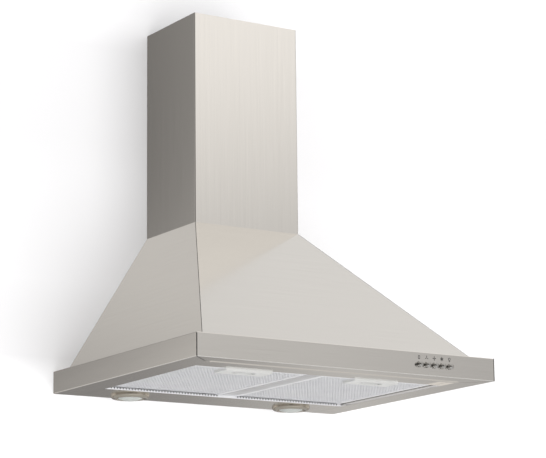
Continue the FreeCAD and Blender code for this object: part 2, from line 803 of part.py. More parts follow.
# Wire guard across the right inlet
guard_face = blower_axis + along_x * rim_face
guard = tube(guard_face, along_x, rim_radius - strap, inlet_radius, guard_bar)
for i in range(guard_rings):
    radius = inlet_radius * (i + 1) / (guard_rings + 1)
    guard = guard.fuse(tube(guard_face, along_x, radius + guard_bar / 2, radius - guard_bar / 2, guard_bar))
spoke_in = inlet_radius / (guard_rings + 1)
for i in range(spider_arms):
    spoke = prism([guard_face + along_y * (side * guard_bar / 2) + along_z * r for side, r in (
        (-1, spoke_in), (1, spoke_in), (1, inlet_radius + guard_bar), (-1, inlet_radius + guard_bar))],
        along_x * guard_bar)
    spoke.rotate(blower_axis, along_x, i * 360 / spider_arms)
    guard = guard.fuse(spoke)
export("inlet_guard", guard.removeSplitter())

# Impeller with forward-curved blades on both sides of its disc
impeller_half = impeller_width / 2
blade_in = at(0, impeller_eye + blade_sheet, 0)
blade_out = at(0, impeller_radius - blade_sheet, 0)
sweep = math.degrees(blade_curve / impeller_radius)
blade_end = FreeCAD.Rotation(along_x, sweep).multVec(blade_out)
bulge = FreeCAD.Rotation(along_x, sweep * blade_bulge).multVec((blade_in + blade_out) / 2)
blade_arc = Part.Arc(blade_in, bulge, blade_end)
blade_back = FreeCAD.Rotation(along_x, math.degrees(blade_sheet / impeller_eye))
back_arc = Part.Arc(blade_back.multVec(blade_end), blade_back.multVec(bulge), blade_back.multVec(blade_in))
blade_wire = Part.Wire([
    blade_arc.toShape(), Part.makeLine(blade_end, blade_back.multVec(blade_end)),
    back_arc.toShape(), Part.makeLine(blade_back.multVec(blade_in), blade_in)])
blade_face = Part.Face(blade_wire).translated(blower_axis - along_x * impeller_half)
blade = blade_face.extrude(along_x * impeller_width)
blades = []
for i in range(blade_count):
    copy = blade.copy()
    copy.rotate(blower_axis, along_x, i * 360 / blade_count)
    blades.append(copy)
disc = rod(blower_axis - along_x * (impeller_disc / 2), along_x, impeller_radius, impeller_disc)
hub = rod(blower_axis - along_x * (impeller_disc / 2), along_x, hub_radius, hub_length)
rims = [tube(blower_axis + along_x * x, along_x, impeller_radius, impeller_eye, impeller_disc)
        for x in (-impeller_half, impeller_half - impeller_disc)]
impeller = disc.multiFuse([hub] + rims + blades).removeSplitter()
impeller = impeller.cut(rod(blower_axis - along_x * hub_length, along_x, shaft_radius, 3 * hub_length))
export("impeller", impeller)
shaft_length = hub_length - impeller_disc / 2 + strap - shaft_tail
export("impeller_shaft", rod(blower_axis + along_x * shaft_tail, along_x, shaft_radius, shaft_length))

# Outlet collar for the duct, with two backdraught flaps on one pin
bore_radius = duct_radius - collar_wall
ledge_top = plate_top + damper_height
pin_z = ledge_top + knuckle_radius
collar = box(-collar_flange, collar_flange, duct_y - collar_flange, duct_y + collar_flange,
             plate_top, plate_top + 2 * sheet)
collar = round_edges(collar, 2 * screw_head, lambda b: near(b.ZLength, 2 * sheet))
collar = collar.fuse(rod(at(0, duct_y, plate_top), along_z, duct_radius, collar_height)).removeSplitter()
collar = collar.cut(rod(at(0, duct_y, plate_top), along_z, bore_radius, collar_height))
ledge = tube(at(0, duct_y, ledge_top - 2 * sheet), along_z, duct_radius, bore_radius - damper_ledge, 2 * sheet)
collar = collar.fuse(ledge).removeSplitter()
pin_reach = duct_radius - pin_gap
collar = collar.cut(rod(at(-duct_radius, duct_y, pin_z), along_x, hinge_pin + pin_gap, 2 * duct_radius))
for x, y in collar_corners:
    collar = collar.cut(rod(at(x, y, plate_top), along_z, screw_radius, 2 * sheet))
export("outlet_collar", collar)
export("damper_pin", rod(at(-pin_reach, duct_y, pin_z), along_x, hinge_pin, 2 * pin_reach))

flap_radius = bore_radius - flap_gap
flap_start = knuckle_radius + seat_gap * 2


def flap_shape(side):
    leaf = rod(at(0, duct_y, ledge_top), along_z, flap_radius, flap_sheet)
    half = box(-flap_radius, flap_radius, duct_y + flap_start, duct_y + flap_radius, ledge_top, pin_z)
    leaf = leaf.common(half)
    web = box(knuckle_near, knuckle_far, duct_y, duct_y + 2 * flap_start, ledge_top, ledge_top + flap_sheet)
    knuckle = rod(at(knuckle_near, duct_y, pin_z), along_x, knuckle_radius, knuckle_far - knuckle_near)
    leaf = leaf.fuse(web).fuse(knuckle).removeSplitter()
    leaf = leaf.cut(rod(at(0, duct_y, pin_z), along_x, hinge_pin + pin_gap, duct_radius))
    if side < 0:
        leaf.rotate(at(0, duct_y, 0), along_z, 180)
    return leaf


export("damper_flap_rear", flap_shape(1))
export("damper_flap_front", flap_shape(-1))

# Screws that hold the casing halves, the motor spider and the collar
screws = [screw(point - along_x * scroll_wall, along_x, 2 * scroll_wall + sheet) for point in flange_points]
for point in spider_points:
    screws.append(screw(point + along_x * spider_face, along_x, spider_sheet + inlet_rim_height))
for x, y in collar_corners:
    screws.append(screw(at(x, y, plate_top + 2 * sheet), -along_z, 2 * sheet + strap + sheet))
export("blower_screws", Part.makeCompound(screws))

# Capacitor, terminal box, lamp transformer and cable gland
capacitor_x = neck_open_x - capacitor_radius - sheet
capacitor_foot = at(capacitor_x, duct_y / 2, canopy_top - capacitor_length)
capacitor = rod(capacitor_foot, along_z, capacitor_radius, capacitor_length)
capacitor = round_edges(capacitor, 2 * sheet, lambda b: near(b.ZMin, b.ZMax) and near(
    b.ZMin, canopy_top - capacitor_length))
export("capacitor", capacitor)

box_x0 = -box_from_centre - box_width / 2
box_x1 = box_x0 + box_width
box_front = back_face - box_depth
box_top = box_bottom + box_height
terminal_box = box(box_x0, box_x1, box_front, back_face, box_bottom, box_top)
terminal_box = terminal_box.cut(box(box_x0 + box_wall, box_x1 - box_wall, box_front, back_face - box_wall,
                                    box_bottom + box_wall, box_top - box_wall))
export("terminal_box", terminal_box)
box_lid = box(box_x0, box_x1, box_front - box_wall, box_front, box_bottom, box_top)
box_lid = round_edges(box_lid, lid_round, lambda b: near(b.YMin, b.YMax) and near(b.YMin, box_front - box_wall))
export("terminal_box_lid", box_lid)

trafo_x0 = box_from_centre - transformer_width / 2
transformer = box(trafo_x0, trafo_x0 + transformer_width, back_face - transformer_depth, back_face,
                  box_bottom, box_bottom + transformer_height)
transformer = round_edges(transformer, 2 * box_wall, lambda b: near(b.YLength, transformer_depth))
export("transformer", transformer)

gland_foot = at(gland_x, gland_y, plate_top)
gland = rod(gland_foot - along_z * (gland_height / 2), along_z, gland_radius, gland_height)
hexagon = [gland_foot + FreeCAD.Rotation(along_z, 60 * i).multVec(at(gland_nut, 0, 0)) for i in range(6)]
gland = gland.fuse(prism(hexagon, along_z * (gland_height / 4)))
lower_nut = prism([p - along_z * strap for p in hexagon], along_z * (-gland_height / 4))
gland = gland.fuse(lower_nut).removeSplitter()
gland = gland.cut(rod(gland_foot - along_z * gland_height, along_z, gland_bore, 2 * gland_height))
export("cable_gland", gland)
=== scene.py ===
import math
import bmesh
import bpy
from mathutils import Matrix, Vector


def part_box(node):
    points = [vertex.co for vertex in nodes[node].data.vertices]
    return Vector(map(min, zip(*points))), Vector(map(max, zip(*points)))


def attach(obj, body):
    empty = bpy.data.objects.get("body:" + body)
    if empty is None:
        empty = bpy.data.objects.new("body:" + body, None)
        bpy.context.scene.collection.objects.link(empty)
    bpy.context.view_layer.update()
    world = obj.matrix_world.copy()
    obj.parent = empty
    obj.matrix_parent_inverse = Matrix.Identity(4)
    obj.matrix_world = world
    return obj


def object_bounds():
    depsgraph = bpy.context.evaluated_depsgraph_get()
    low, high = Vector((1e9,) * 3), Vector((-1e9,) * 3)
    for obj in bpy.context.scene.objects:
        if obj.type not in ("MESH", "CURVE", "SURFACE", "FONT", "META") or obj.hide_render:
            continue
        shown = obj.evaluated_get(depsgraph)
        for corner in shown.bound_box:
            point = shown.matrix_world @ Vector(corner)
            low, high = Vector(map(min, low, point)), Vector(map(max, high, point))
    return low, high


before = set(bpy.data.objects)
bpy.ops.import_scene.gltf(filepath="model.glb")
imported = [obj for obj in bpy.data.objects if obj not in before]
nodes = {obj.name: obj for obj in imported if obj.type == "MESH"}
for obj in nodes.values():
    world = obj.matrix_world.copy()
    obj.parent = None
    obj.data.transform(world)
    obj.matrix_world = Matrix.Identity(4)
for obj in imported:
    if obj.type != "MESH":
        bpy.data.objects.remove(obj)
cadBox = [list(corner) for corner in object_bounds()]
scene = bpy.context.scene
mm = 0.001
print("frame loaded:", len(nodes), "nodes")


class Sock:
    # a socket of a node tree, so that shader maths reads as plain sums
    def __init__(self, tree, socket=None):
        self.tree = tree
        self.socket = socket

    def node(self, kind, settings=None, values=None, out=0):
        made = self.tree.nodes.new(kind)
        for key, value in (settings or {}).items():
            if key == "stops":
                ramp = made.color_ramp
                while len(ramp.elements) < len(value):
                    ramp.elements.new(0.5)
                for element, (place, colour) in zip(ramp.elements, value):
                    element.position = place
                    element.color = colour
            else:
                setattr(made, key, value)
        for key, value in (values or {}).items():
            self.feed(made.inputs[key], value)
        return Sock(self.tree, made.outputs[out])

    def feed(self, target, value):
        if isinstance(value, Sock):
            self.tree.links.new(value.socket, target)
        else:
            target.default_value = value

    def sum(self, operation, first, second):
        return self.node("ShaderNodeMath", {"operation": operation}, {0: first, 1: second})

    def __add__(self, other):
        return self.sum("ADD", self, other)

    def __radd__(self, other):
        return self.sum("ADD", other, self)

    def __sub__(self, other):
        return self.sum("SUBTRACT", self, other)

    def __rsub__(self, other):
        return self.sum("SUBTRACT", other, self)

    def __mul__(self, other):
        return self.sum("MULTIPLY", self, other)

    def __rmul__(self, other):
        return self.sum("MULTIPLY", other, self)

    def __abs__(self):
        return self.node("ShaderNodeMath", {"operation": "ABSOLUTE"}, {0: self})

    def noise(self, where, scale, detail=3.0, rough=0.55):
        if isinstance(scale, float):
            scale = (scale, scale, scale)
        stretched = self.node("ShaderNodeMapping", values={"Vector": where, "Scale": scale})
        return self.node("ShaderNodeTexNoise", values={
            "Vector": stretched, "Scale": 1.0, "Detail": detail, "Roughness": rough})

    def between(self, low, high, share):
        return self.node("ShaderNodeMix", {"data_type": "RGBA"}, {0: share, 6: low, 7: high}, out=2)

    def step(self, value, low, high):
        return self.node("ShaderNodeMapRange", {"interpolation_type": "SMOOTHSTEP"}, {
            0: value, 1: low, 2: high})

    def bump(self, height, strength, depth):
        return self.node("ShaderNodeBump", values={"Height": height, "Strength": strength, "Distance": depth})


def newMaterial(name):
    made = bpy.data.materials.new(name)
    made.use_nodes = True
    sk = Sock(made.node_tree)
    place = sk.node("ShaderNodeTexCoord", out="Object")
    return made, sk, made.node_tree.nodes["Principled BSDF"], place


def fill(sk, shader, values):
    for key, value in values.items():
        sk.feed(shader.inputs[key], value)


def rgb(red, green, blue):
    return (red, green, blue, 1.0)


# brushed stainless sheet: hairlines along one axis, broad streaks and faint smudges
steelLook = {
    "pale": rgb(0.742, 0.725, 0.699), "dark": rgb(0.698, 0.681, 0.655),
    "rough": 0.12, "hairRough": 0.05, "streakRough": 0.014, "hairDepth": 0.02 * mm,
    "along": 9.0, "across": 1700.0, "streakAlong": 2.2, "streakAcross": 230.0, "smudge": 5.0,
    "hairShare": 0.75, "toneLow": 0.25, "toneHigh": 0.75, "bump": 0.35,
}
steelFinishes = {"steelAcross": {"axis": 0}, "steelDeep": {"axis": 1}, "steelUpright": {"axis": 2}}


def grainScale(axis, along, across):
    return tuple(along if i == axis else across for i in range(3))


def brushedSteel(name, axis):
    look = steelLook
    made, sk, shader, place = newMaterial(name)
    hair = sk.noise(place, grainScale(axis, look["along"], look["across"]), detail=2.0)
    streak = sk.noise(place, grainScale(axis, look["streakAlong"], look["streakAcross"]), detail=3.0)
    smudge = sk.noise(place, look["smudge"], detail=4.0)
    tone = look["hairShare"] * hair + (1 - look["hairShare"]) * streak
    wear = look["hairRough"] * (hair - 0.5) + look["streakRough"] * (streak + smudge - 1.0)
    fill(sk, shader, {
        "Base Color": sk.between(look["dark"], look["pale"], sk.step(tone, look["toneLow"], look["toneHigh"])),
        "Metallic": 1.0,
        "Roughness": look["rough"] + wear,
        "Normal": sk.bump(hair, look["bump"], look["hairDepth"]),
    })
    return made


# galvanised sheet with its crystal spangle
spangleLook = {"warp": 40.0, "crystalShare": 0.7, "metal": 0.9, "spread": 0.16, "bump": 0.15, "depth": 0.05 * mm}
zincFinishes = {
    "zinc": {"pale": (0.66, 0.68, 0.70), "dark": (0.47, 0.49, 0.51), "crystals": 95.0, "rough": 0.42},
    # phosphated and near black: the hidden corner angles act as painted shade in the band's corner seams
    "phosphate": {"pale": (0.05, 0.05, 0.055), "dark": (0.03, 0.03, 0.032), "crystals": 140.0, "rough": 0.62},
}


def galvanised(name, pale, dark, crystals, rough):
    look = spangleLook
    made, sk, shader, place = newMaterial(name)
    warp = sk.noise(place, look["warp"])
    crystal = sk.node("ShaderNodeTexVoronoi", {"feature": "F1"}, {
        "Vector": place, "Scale": crystals, "Randomness": 1.0}, out="Color")
    grey = sk.node("ShaderNodeSeparateColor", values={"Color": crystal})
    tone = look["crystalShare"] * grey + (1 - look["crystalShare"]) * warp
    fill(sk, shader, {
        "Base Color": sk.between(rgb(*dark), rgb(*pale), tone),
        "Metallic": look["metal"],
        "Roughness": rough + look["spread"] * (grey - 0.5),
        "Normal": sk.bump(tone, look["bump"], look["depth"]),
    })
    return made


# painted shade: a dark ring drawn around each drain hole of the rear rail, standing in for the shading of the
# punched dimple
drainShadeLook = {
    "pitch": 6.0 * mm, "height": 2.85 * mm, "inner": 1.1 * mm, "outer": 1.8 * mm, "reach": 110.5 * mm,
    "tint": rgb(0.10, 0.10, 0.10),
}


def paintedDrainShade(sk, place, colour):
    look = drainShadeLook
    middle = sum(corner[0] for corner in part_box("filter_frame_right")) / 2
    x = sk.node("ShaderNodeSeparateXYZ", values={0: place}, out="X")
    z = sk.node("ShaderNodeSeparateXYZ", values={0: place}, out="Z")
    offset = abs(x) - middle
    turn = sk.node("ShaderNodeMath", {"operation": "FRACT"}, {0: offset * (1 / look["pitch"]) + 0.5})
    aside = (turn - 0.5) * look["pitch"]
    rise = z - (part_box("rear_rail")[0][2] + look["height"])
    away = sk.node("ShaderNodeMath", {"operation": "SQRT"}, {0: aside * aside + rise * rise})
    # only the row of holes gets the painted dark rings
    inRow = 1.0 - sk.step(abs(offset), look["reach"], look["reach"] + mm)
    return sk.between(colour, look["tint"], inRow * (1.0 - sk.step(away, look["inner"], look["outer"])))


# satin aluminium: extruded or pressed strip with fine drawing lines
aluminiumLook = {
    "along": 9.0, "across": 2100.0, "cloud": 18.0, "hairShare": 0.5, "toneLow": 0.2, "toneHigh": 0.8,
    "hairRough": 0.14, "cloudRough": 0.08, "bump": 0.25, "hairDepth": 0.03 * mm,
}
aluminiumFinishes = {
    "drainAluminium": {
        "axis": 0, "pale": (0.86, 0.86, 0.87), "dark": (0.76, 0.76, 0.78), "rough": 0.42, "metal": 0.35,
        "drainShaded": True},
    "frameAluminium": {
        "axis": 1, "pale": (0.86, 0.86, 0.87), "dark": (0.74, 0.74, 0.76), "rough": 0.42, "metal": 0.35},
    "railAluminium": {
        "axis": 1, "pale": (0.78, 0.78, 0.79), "dark": (0.68, 0.68, 0.70), "rough": 0.36, "metal": 0.85},
    "meshAluminium": {
        "axis": 0, "pale": (0.77, 0.77, 0.78), "dark": (0.67, 0.67, 0.69), "rough": 0.52, "metal": 0.4},
    "canAluminium": {
        "axis": 2, "pale": (0.82, 0.82, 0.83), "dark": (0.70, 0.70, 0.72), "rough": 0.34, "metal": 0.95},
    "reflector": {
        "axis": 2, "pale": (0.88, 0.88, 0.88), "dark": (0.78, 0.78, 0.78), "rough": 0.18, "metal": 0.95},
}


def satinAluminium(name, axis, pale, dark, rough, metal, drainShaded=False):
    look = aluminiumLook
    made, sk, shader, place = newMaterial(name)
    hair = sk.noise(place, grainScale(axis, look["along"], look["across"]), detail=2.0)
    cloud = sk.noise(place, look["cloud"], detail=4.0)
    tone = look["hairShare"] * hair + (1 - look["hairShare"]) * cloud
    colour = sk.between(rgb(*dark), rgb(*pale), sk.step(tone, look["toneLow"], look["toneHigh"]))
    fill(sk, shader, {
        # the drain rail's colour carries painted shade around its holes
        "Base Color": paintedDrainShade(sk, place, colour) if drainShaded else colour,
        "Metallic": metal,
        "Roughness": rough + look["hairRough"] * (hair - 0.5) + look["cloudRough"] * (cloud - 0.5),
        "Normal": sk.bump(hair, look["bump"], look["hairDepth"]),
    })
    return made


# inner layers of the grease pad, seen through the outer mesh
padLook = {
    "pale": rgb(0.78, 0.78, 0.79), "dark": rgb(0.66, 0.66, 0.67), "metal": 0.4, "rough": 0.55, "spread": 0.2,
    "cell": 330.0, "squash": (1.0, 1.5, 0.0), "stray": 0.35, "strandLow": 0.05, "strandHigh": 0.32, "cloud": 30.0,
    "toneLow": 0.7, "toneSpread": 0.4, "bump": 0.6, "depth": 0.4 * mm,
}


def layeredPad(name):
    look = padLook
    made, sk, shader, place = newMaterial(name)
    flat = sk.node("ShaderNodeMapping", values={"Vector": place, "Scale": look["squash"]})
    cells = sk.node("ShaderNodeTexVoronoi", {"feature": "DISTANCE_TO_EDGE"}, {
        "Vector": flat, "Scale": look["cell"], "Randomness": look["stray"]}, out="Distance")
    strand = 1.0 - sk.step(cells, look["strandLow"], look["strandHigh"])
    cloud = sk.noise(place, look["cloud"])
    tone = strand * (look["toneLow"] + look["toneSpread"] * cloud)
    fill(sk, shader, {
        "Base Color": sk.between(look["dark"], look["pale"], tone),
        "Metallic": look["metal"],
        "Roughness": look["rough"] + look["spread"] * (cloud - 0.5),
        "Normal": sk.bump(strand, look["bump"], look["depth"]),
    })
    return made


# chrome plate with faint polishing haze
chromeLook = {
    "haze": 160.0, "wipe": (900.0, 900.0, 60.0), "dull": 0.9, "hazeRough": 0.07, "wipeRough": 0.04,
    "bump": 0.05, "depth": 0.01 * mm,
}
chromeFinishes = {
    "chrome": {"tint": (0.42, 0.415, 0.405), "rough": 0.08},
    "bezelChrome": {"tint": (0.42, 0.385, 0.33), "rough": 0.09},
    "turnedSteel": {"tint": (0.62, 0.62, 0.62), "rough": 0.30},
}


def chromePlate(name, tint, rough):
    look = chromeLook
    made, sk, shader, place = newMaterial(name)
    haze = sk.noise(place, look["haze"], detail=4.0)
    wipe = sk.noise(place, look["wipe"], detail=2.0)
    fill(sk, shader, {
        "Base Color": sk.between(rgb(*(look["dull"] * part for part in tint)), rgb(*tint), haze),
        "Metallic": 1.0,
        "Roughness": rough + look["hazeRough"] * (haze - 0.5) + look["wipeRough"] * (wipe - 0.5),
        "Normal": sk.bump(wipe, look["bump"], look["depth"]),
    })
    return made


# moulded plastic with a spark-eroded grain; ceramic and enamel are specked alike
plasticLook = {
    "low": 0.82, "high": 1.15, "cloud": 25.0, "speckShare": 0.4, "speckRough": 0.16, "cloudRough": 0.08,
    "bump": 0.25, "depth": 0.08 * mm,
}
plasticFinishes = {
    "handlePlastic": {"colour": (0.64, 0.64, 0.625), "rough": 0.38, "grain": 1600.0},
    "ceramic": {"colour": (0.82, 0.81, 0.77), "rough": 0.55, "grain": 900.0},
    "palePlastic": {"colour": (0.50, 0.50, 0.49), "rough": 0.42, "grain": 1500.0},
    "blackPlastic": {"colour": (0.045, 0.045, 0.048), "rough": 0.48, "grain": 1300.0},
    "greyPlastic": {"colour": (0.26, 0.27, 0.28), "rough": 0.50, "grain": 1100.0},
    "enamel": {"colour": (0.10, 0.105, 0.11), "rough": 0.34, "grain": 700.0},
}


def mouldedPlastic(name, colour, rough, grain):
    look = plasticLook
    made, sk, shader, place = newMaterial(name)
    speck = sk.noise(place, grain)
    cloud = sk.noise(place, look["cloud"])
    low = rgb(*(look["low"] * part for part in colour))
    high = rgb(*(min(1.0, look["high"] * part) for part in colour))
    tone = look["speckShare"] * speck + (1 - look["speckShare"]) * cloud
    fill(sk, shader, {
        "Base Color": sk.between(low, high, tone),
        "Roughness": rough + look["speckRough"] * (speck - 0.5) + look["cloudRough"] * (cloud - 0.5),
        "Normal": sk.bump(speck, look["bump"], look["depth"]),
    })
    return made


# frosted lamp glass with fine moulded ripples
glassLook = {
    "low": rgb(0.84, 0.87, 0.83), "high": rgb(0.91, 0.93, 0.90), "through": 0.55, "index": 1.46, "spread": 0.12,
    "bump": 0.3, "depth": 0.1 * mm,
}
glassFinishes = {"lensGlass": {"ripple": 420.0, "rough": 0.32}, "bulbGlass": {"ripple": 900.0, "rough": 0.10}}


def frostedGlass(name, ripple, rough):
    look = glassLook
    made, sk, shader, place = newMaterial(name)
    speck = sk.noise(place, ripple, detail=2.0)
    fill(sk, shader, {
        "Base Color": sk.between(look["low"], look["high"], speck),
        "Roughness": rough + look["spread"] * (speck - 0.5),
        "Transmission Weight": look["through"],
        "IOR": look["index"],
        "Normal": sk.bump(speck, look["bump"], look["depth"]),
    })
    return made


# printed ink of the button symbols
inkLook = {
    "low": rgb(0.02, 0.02, 0.02), "high": rgb(0.045, 0.044, 0.042), "speck": 2600.0, "rough": 0.45, "spread": 0.2,
}


def printedInk(name):
    look = inkLook
    made, sk, shader, place = newMaterial(name)
    speck = sk.noise(place, look["speck"], detail=2.0)
    fill(sk, shader, {
        "Base Color": sk.between(look["low"], look["high"], speck),
        "Roughness": look["rough"] + look["spread"] * (speck - 0.5),
    })
    return made


# every finish under its name
finishes = {"pad": layeredPad("pad"), "ink": printedInk("ink")}
makers = [
    (brushedSteel, steelFinishes), (galvanised, zincFinishes), (satinAluminium, aluminiumFinishes),
    (chromePlate, chromeFinishes), (mouldedPlastic, plasticFinishes), (frostedGlass, glassFinishes),
]
for maker, looks in makers:
    for name, look in looks.items():
        finishes[name] = maker(name, **look)

finishOfNode = {
    "steelAcross": ["front_panel", "closing_panel", "lamp_panel"],
    "steelDeep": ["left_panel", "right_panel", "left_rail", "right_rail"],
    "steelUpright": ["chimney_cover", "chimney_upper"],
    "zinc": ["back_panel", "top_plate", "wall_bracket", "motor_spider"],
    # near black corner angles: painted shade seen through the band's corner seams
    "phosphate": ["corner_angles"],
    "drainAluminium": ["rear_rail"],
    "canAluminium": ["capacitor"],
    "railAluminium": ["centre_rail"],
    "frameAluminium": ["filter_frame_left", "filter_frame_right"],
    "handlePlastic": ["filter_handle_left", "filter_handle_right"],
    "reflector": ["lamp_cup_left", "lamp_cup_right"],
    "pad": ["filter_mesh_left", "filter_mesh_right"],
    "chrome": ["button_1", "button_2", "button_3", "button_4", "button_5"],
    "bezelChrome": ["lamp_bezel_left", "lamp_bezel_right"],
    "turnedSteel": ["motor_bearings", "impeller_shaft", "damper_pin", "blower_screws", "inlet_guard"],
    "lensGlass": ["lamp_lens_left", "lamp_lens_right"],
    "bulbGlass": ["lamp_bulb_left", "lamp_bulb_right"],
    "ceramic": ["lamp_socket_left", "lamp_socket_right"],
    "palePlastic": ["filter_latch_left", "filter_latch_right"],
    "blackPlastic": ["switch_block", "terminal_box", "terminal_box_lid", "cable_gland", "outlet_collar",
                     "damper_flap_front", "damper_flap_rear"],
    "greyPlastic": ["volute_left", "volute_right", "impeller", "transformer"],
    "enamel": ["motor"],
}

for finish, names in finishOfNode.items():
    for name in names:
        slots = nodes[name].data.materials
        slots.clear()
        slots.append(finishes[finish])
print("finishes on", sum(len(names) for names in finishOfNode.values()), "nodes")


def addPiece(name, bm, finish, body):
    mesh = bpy.data.meshes.new(name)
    bm.to_mesh(mesh)
    bm.free()
    mesh.materials.append(finishes[finish])
    piece = bpy.data.objects.new(name, mesh)
    scene.collection.objects.link(piece)
    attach(piece, body)


# expanded mesh over each grease pad: a lattice of diamonds, cut to the frame's window
meshLook = {
    "wide": 6.0 * mm, "deep": 9.0 * mm, "strand": 1.5 * mm, "flat": 0.5, "lift": 0.45 * mm, "edge": 2.6 * mm,
}


def expandedMesh(side):
    look = meshLook
    low, high = (Vector(corner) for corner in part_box("filter_mesh_" + side))
    handleLow, handleHigh = (Vector(corner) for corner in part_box("filter_handle_" + side))
    middle = (low + high) / 2
    span = high - low
    across = math.ceil(span.x / look["wide"] + span.y / look["deep"])
    bm = bmesh.new()
    bmesh.ops.create_grid(bm, x_segments=across, y_segments=across, size=across / 2)
    bmesh.ops.rotate(bm, verts=bm.verts, matrix=Matrix.Rotation(math.pi / 4, 3, "Z"))
    diagonal = math.sqrt(2)
    bmesh.ops.scale(bm, verts=bm.verts, vec=(look["wide"] / diagonal, look["deep"] / diagonal, 1.0))
    bmesh.ops.translate(bm, verts=bm.verts, vec=(middle.x, middle.y, low.z - look["lift"]))
    walls = [((low.x + look["edge"], 0, 0), (-1, 0, 0)), ((high.x - look["edge"], 0, 0), (1, 0, 0)),
             ((0, low.y + look["edge"], 0), (0, -1, 0)), ((0, high.y - look["edge"], 0), (0, 1, 0))]
    for point, outward in walls:
        bmesh.ops.bisect_plane(bm, geom=bm.verts[:] + bm.edges[:] + bm.faces[:], plane_co=point,
                               plane_no=outward, clear_outer=True)
    covered = []  # cells behind the handle plate
    for face in bm.faces:
        centre = face.calc_center_median()
        if centre.y < handleHigh.y + look["edge"] and handleLow.x < centre.x < handleHigh.x:
            covered.append(face)
    bmesh.ops.delete(bm, geom=covered, context="FACES")
    bmesh.ops.wireframe(bm, faces=bm.faces, thickness=look["strand"], use_replace=True, use_boundary=True,
                        use_even_offset=True)
    sheet = Matrix.Translation((0, 0, look["lift"] - low.z))
    bmesh.ops.scale(bm, verts=bm.verts, vec=(1, 1, look["flat"]), space=sheet)
    addPiece("expandedMesh_" + side, bm, "meshAluminium", "filter_" + side)


for side in ("left", "right"):
    expandedMesh(side)
print("grease meshes laid")

# printed symbols above the buttons: off, three fan speeds and the lamp
symbolLook = {
    "rise": 12.2 * mm, "size": 3.7 * mm, "line": 1.0 * mm, "film": 0.06 * mm, "sides": 24,
    "offRadius": 0.62, "offStretch": 1.5, "bladeStart": 0.55,
    "fans": [(3, 1.25 * mm), (4, 1.5 * mm), (6, 1.45 * mm)],  # blades and their width
    "bulbRise": 0.25, "bulbRadius": 0.68, "capDrop": [0.62, 0.94], "capWide": [0.75, 0.55], "capLine": 0.9,
}


def ringPatch(bm, centre, radius, line, sides, stretch=1.0):
    place = Matrix.Translation(centre) @ Matrix.Diagonal((1, stretch, 1, 1))
    outer = bmesh.ops.create_circle(bm, segments=sides, radius=radius, matrix=place)["verts"]
    inner = bmesh.ops.create_circle(bm, segments=sides, radius=radius - line, matrix=place)["verts"]
    for i in range(sides):
        bm.faces.new((outer[i - 1], outer[i], inner[i], inner[i - 1]))


def bladePatch(bm, centre, reach, width, angle, sides):
    made = bmesh.ops.create_circle(bm, segments=sides, radius=1.0, cap_ends=True)["verts"]
    bmesh.ops.scale(bm, verts=made, vec=(width / 2, reach / 2, 1))
    bmesh.ops.translate(bm, verts=made, vec=(0, reach * symbolLook["bladeStart"], 0))
    bmesh.ops.rotate(bm, verts=made, matrix=Matrix.Rotation(angle, 3, "Z"))
    bmesh.ops.translate(bm, verts=made, vec=centre)


def barPatch(bm, centre, width, height):
    made = bmesh.ops.create_grid(bm, x_segments=1, y_segments=1, size=0.5)["verts"]
    bmesh.ops.scale(bm, verts=made, vec=(width, height, 1))
    bmesh.ops.translate(bm, verts=made, vec=centre)


def fanPatch(bm, x, blades, width):
    look = symbolLook
    for i in range(blades):
        bladePatch(bm, (x, 0, 0), look["size"], width, 2 * math.pi * i / blades, look["sides"] // 2)


def buttonSymbols():
    look = symbolLook
    boxes = [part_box("button_%d" % i) for i in range(1, 6)]
    centres = [(Vector(low) + Vector(high)) / 2 for low, high in boxes]
    size = look["size"]
    line = look["line"]
    bm = bmesh.new()
    ringPatch(bm, (centres[0].x, 0, 0), size * look["offRadius"], line, look["sides"], look["offStretch"])
    for centre, (blades, width) in zip(centres[1:4], look["fans"]):
        fanPatch(bm, centre.x, blades, width)
    bulb = centres[4].x
    ringPatch(bm, (bulb, size * look["bulbRise"], 0), size * look["bulbRadius"], line, look["sides"])
    for drop, wide in zip(look["capDrop"], look["capWide"]):
        barPatch(bm, (bulb, -size * drop, 0), size * wide, line * look["capLine"])
    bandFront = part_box("front_panel")[0][1]
    bmesh.ops.rotate(bm, verts=bm.verts, matrix=Matrix.Rotation(math.pi / 2, 3, "X"))
    bmesh.ops.translate(bm, verts=bm.verts, vec=(0, bandFront - look["film"], centres[0].z + look["rise"]))
    addPiece("buttonSymbols", bm, "ink", "hood")


buttonSymbols()
print("button symbols printed")

# camera at the photograph's place: yaw right, tilt up and a slight roll
cameraLook = {
    "place": (-2.1336, -3.6076, -0.7848), "yaw": 32.5163, "tilt": 11.9849, "roll": 0.5898,
    "focalPixels": 2284.1, "imageWidth": 546, "sensor": 36.0, "clipEnd": 60.0,
}


def placeCamera():
    look = cameraLook
    data = bpy.data.cameras.new("camera")
    data.sensor_width = look["sensor"]
    data.lens = look["sensor"] * look["focalPixels"] / look["imageWidth"]
    data.clip_end = look["clipEnd"]
    camera = bpy.data.objects.new("camera", data)
    scene.collection.objects.link(camera)
    turn = Matrix.Rotation(-math.radians(look["yaw"]), 4, "Z")
    tilt = Matrix.Rotation(math.radians(90 + look["tilt"]), 4, "X")
    roll = Matrix.Rotation(-math.radians(look["roll"]), 4, "Z")
    camera.matrix_world = Matrix.Translation(look["place"]) @ turn @ tilt @ roll
    scene.camera = camera


placeCamera()

